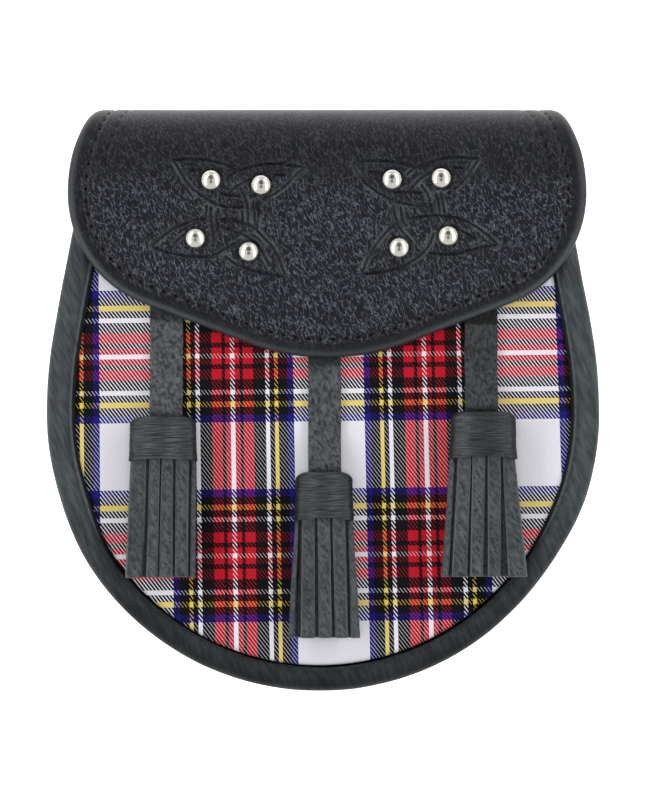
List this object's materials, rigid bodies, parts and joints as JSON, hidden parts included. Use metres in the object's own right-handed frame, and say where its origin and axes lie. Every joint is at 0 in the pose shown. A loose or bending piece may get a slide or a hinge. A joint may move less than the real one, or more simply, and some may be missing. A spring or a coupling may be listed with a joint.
{
  "type": "day sporran pouch",
  "caption": "Day sporran: U-shaped black leather pouch with rolled borders, a tartan front, a studded knot-tooled flap folded over the top, and leather tassels on straps.",
  "frame": {"origin": "On the surface that the pouch lies on, at the middle of its outline in X and Y", "axes": "+Z out of the pouch's front, +Y to its top fold, +X to the right of someone who looks at its front"},
  "size_m": [0.1906, 0.199, 0.0429],
  "materials": {
    "flap_leather": "black cowhide with a hair-cell grain, tooled and lightly waxed",
    "border_leather": "smooth dyed leather, rolled, satin",
    "strap_leather": "fine grain, matt",
    "strip_leather": "cut strips with open pores, matt",
    "back_leather": "plain black leather, satin",
    "tartan": "worsted twill tartan, white ground with red, black, navy and yellow stripes",
    "nickel": "polished nickel plate"
  },
  "bodies": {
    "root": {"front_panel": "tartan", "back_panel": "back_leather", "gusset": "back_leather", "front_piping": "border_leather", "back_piping": "border_leather", "flap": "flap_leather", "press_stud": "nickel", "strap_loop_left": "back_leather", "strap_loop_right": "back_leather", "tassel_strap_left": "strap_leather", "tassel_strap_centre": "strap_leather", "tassel_strap_right": "strap_leather", "tassel_band_left": "strap_leather", "tassel_band_centre": "strap_leather", "tassel_band_right": "strap_leather", "tassel_left": "strip_leather", "tassel_centre": "strip_leather", "tassel_right": "strip_leather", "stud_left_upper_outer": "nickel", "stud_left_upper_inner": "nickel", "stud_left_lower_outer": "nickel", "stud_left_lower_inner": "nickel", "stud_right_upper_inner": "nickel", "stud_right_upper_outer": "nickel", "stud_right_lower_inner": "nickel", "stud_right_lower_outer": "nickel"}
  },
  "joints": []
}
